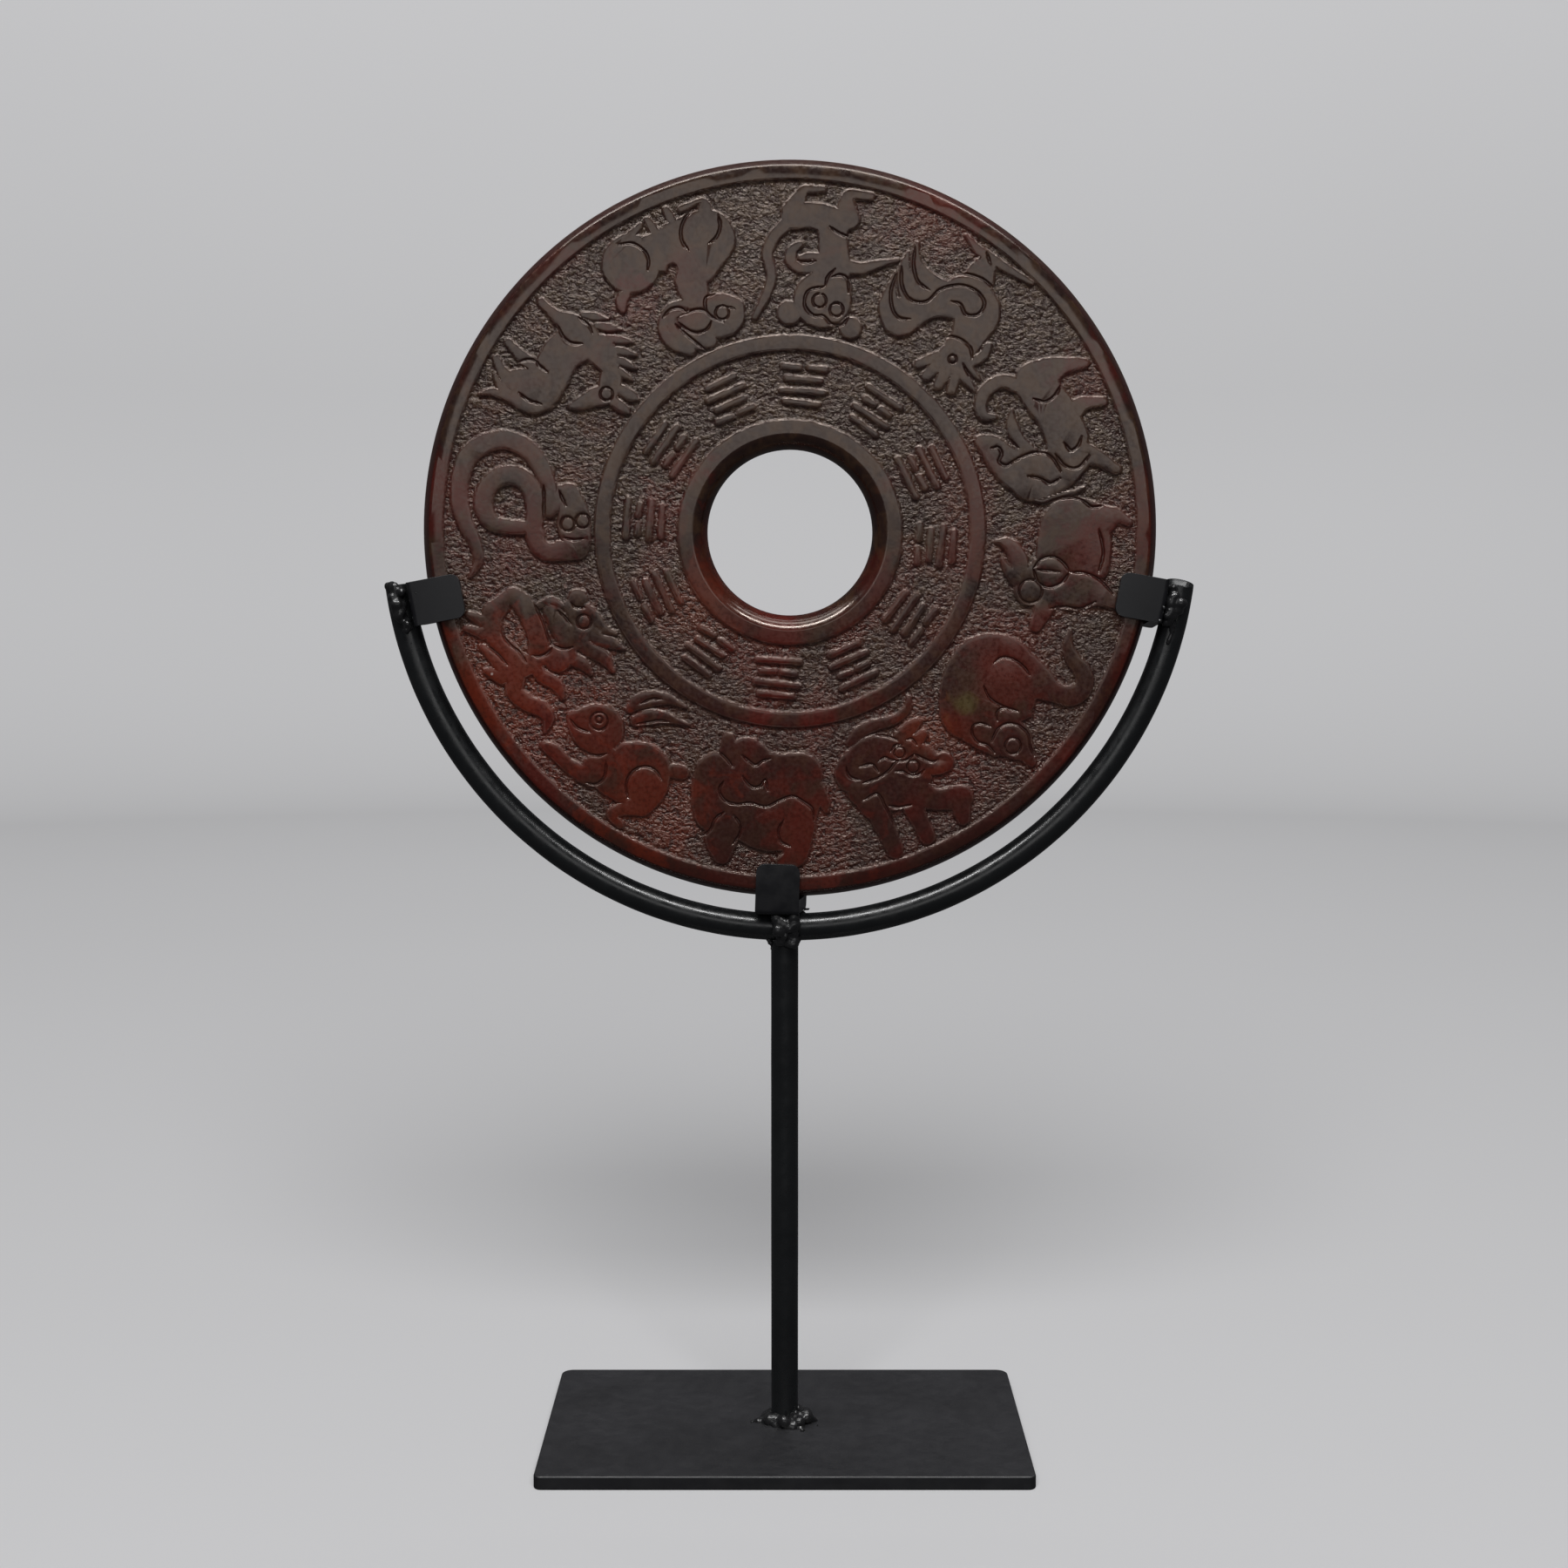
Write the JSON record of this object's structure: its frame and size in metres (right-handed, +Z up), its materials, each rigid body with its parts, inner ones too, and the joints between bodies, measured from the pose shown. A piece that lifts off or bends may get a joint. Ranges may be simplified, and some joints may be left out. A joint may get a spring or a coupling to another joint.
{
  "type": "bi disc in a cradle stand",
  "caption": "Flat round carved stone disc with a centre hole and a band of zodiac animals, held upright by clips in a welded steel cradle on a post and flat base.",
  "frame": {"origin": "on the floor under the stand, midway between the cradle's ends and the base plate's long edges", "axes": "+Z up, -Y out of the carved face, +X to the right of someone looking at that face"},
  "size_m": [0.2322, 0.088, 0.3705],
  "materials": {
    "stone": "polished dark red-brown jade, rough chiselled ground between the figures",
    "black_steel": "satin black paint on welded steel"
  },
  "bodies": {
    "root": {"disc": "stone", "base_plate": "black_steel", "post": "black_steel", "cradle_arc": "black_steel", "clip_left": "black_steel", "clip_bottom": "black_steel", "clip_right": "black_steel"}
  },
  "joints": []
}
